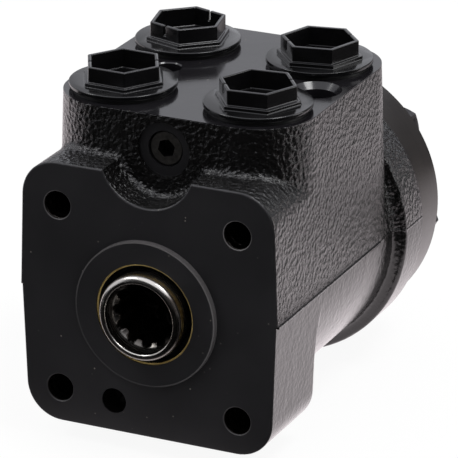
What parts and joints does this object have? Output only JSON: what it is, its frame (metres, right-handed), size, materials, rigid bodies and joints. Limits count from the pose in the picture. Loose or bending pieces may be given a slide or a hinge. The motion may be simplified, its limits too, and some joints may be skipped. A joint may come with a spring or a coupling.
{
  "type": "orbital steering unit",
  "caption": "Hydraulic orbital steering unit: black cast housing with square mounting flange, splined drive nose, plugged ports on top and a round gear set behind a bolted cover.",
  "frame": {"origin": "centre of the four mounting holes, in the mounting face, on the shaft axis", "axes": "+Y along the shaft axis from the mounting face to the rear cover; +Z out of the port face; +X to the right as seen from the shaft end"},
  "size_m": [0.0908, 0.1326, 0.1113],
  "materials": {
    "cast_black": "gloss black paint over rough sand-cast iron, with flat machined faces in dark satin",
    "dark_steel": "turned steel under a thin dark brown-grey coat, satin",
    "bright_steel": "ground bare steel with a thin oil film",
    "ground_steel": "ground hardened steel, lightly oiled",
    "spring_steel": "rolled spring steel, blue-grey",
    "black_bolt": "black oxide over forged steel",
    "washer_metal": "soft steel sealing washer",
    "seal_case": "thin pressed steel with a yellowish passivated coat and a rubber wiper",
    "black_rubber": "smooth nitrile rubber",
    "plug_plastic": "glossy black moulded plastic"
  },
  "bodies": {
    "housing": {"housing": "cast_black", "end_cover": "dark_steel", "gear_rim": "dark_steel", "distributor_plate": "dark_steel", "cover_bolts": "black_bolt", "valve_bolt": "black_bolt", "bolt_washers": "washer_metal", "bearing_outer_race": "ground_steel", "shaft_seal": "black_rubber", "dust_seal": "seal_case", "set_o_rings": "black_rubber", "check_pin": "spring_steel", "relief_plug": "black_bolt", "relief_seat": "ground_steel", "relief_spring": "spring_steel"},
    "sleeve": {"sleeve": "ground_steel", "cross_pin": "ground_steel", "centring_springs": "spring_steel", "spring_keeper": "ground_steel", "bearing_inner_race": "ground_steel"},
    "spool": {"spool": "bright_steel"},
    "orbit": {"cardan_spacer": "ground_steel"},
    "rotor": {"gear_rotor": "ground_steel"},
    "cardan": {"cardan_shaft": "ground_steel"},
    "needle_bearing": {"bearing_cage": "spring_steel", "bearing_needles": "ground_steel"},
    "check_ball": {"check_ball": "ground_steel"},
    "relief_poppet": {"relief_poppet": "ground_steel"},
    "plug_front_left": {"port_plug_front_left": "plug_plastic", "plug_seal_front_left": "black_rubber"},
    "plug_front_right": {"port_plug_front_right": "plug_plastic", "plug_seal_front_right": "black_rubber"},
    "plug_rear_left": {"port_plug_rear_left": "plug_plastic", "plug_seal_rear_left": "black_rubber"},
    "plug_rear_right": {"port_plug_rear_right": "plug_plastic", "plug_seal_rear_right": "black_rubber"}
  },
  "joints": [
    {"name": "sleeve_turn", "type": "hinge", "parent": "housing", "child": "sleeve", "pos_m": [0, 0, 0], "axis": [0, 1, 0], "continuous": true},
    {"name": "spool_turn", "type": "hinge", "parent": "sleeve", "child": "spool", "pos_m": [0, 0, 0], "axis": [0, 1, 0], "range_deg": [-8, 8], "stiffness_Nm_per_rad": 12},
    {"name": "rotor_orbit", "type": "hinge", "parent": "housing", "child": "orbit", "pos_m": [0, 0, 0], "axis": [0, 1, 0], "continuous": true},
    {"name": "rotor_spin", "type": "hinge", "parent": "orbit", "child": "rotor", "pos_m": [0, 0.10985, 0.0036], "axis": [0, 1, 0], "continuous": true},
    {"name": "cardan_spin", "type": "hinge", "parent": "orbit", "child": "cardan", "pos_m": [0, 0.046, 0], "axis": [0, 0.9984, 0.0563], "continuous": true},
    {"name": "bearing_roll", "type": "hinge", "parent": "housing", "child": "needle_bearing", "pos_m": [0, 0, 0], "axis": [0, 1, 0], "continuous": true},
    {"name": "check_ball_lift", "type": "slide", "parent": "housing", "child": "check_ball", "axis": [0, 1, 0], "range_m": [0, 0.003]},
    {"name": "relief_open", "type": "slide", "parent": "housing", "child": "relief_poppet", "axis": [0, -1, 0], "range_m": [0, 0.002], "stiffness_N_per_m": 20000, "springref_m": -0.004, "deforming": ["relief_spring"]},
    {"name": "plug_front_left_out", "type": "slide", "parent": "housing", "child": "plug_front_left", "axis": [0, 0, 1], "range_m": [0, 0.03]},
    {"name": "plug_front_right_out", "type": "slide", "parent": "housing", "child": "plug_front_right", "axis": [0, 0, 1], "range_m": [0, 0.03]},
    {"name": "plug_rear_left_out", "type": "slide", "parent": "housing", "child": "plug_rear_left", "axis": [0, 0, 1], "range_m": [0, 0.03]},
    {"name": "plug_rear_right_out", "type": "slide", "parent": "housing", "child": "plug_rear_right", "axis": [0, 0, 1], "range_m": [0, 0.03]}
  ],
  "couplings": [
    {"joint": "rotor_orbit", "follows": "sleeve_turn", "ratio": -6},
    {"joint": "rotor_spin", "follows": "sleeve_turn", "ratio": 7},
    {"joint": "cardan_spin", "follows": "sleeve_turn", "ratio": 7},
    {"joint": "bearing_roll", "follows": "sleeve_turn", "ratio": 0.5}
  ]
}
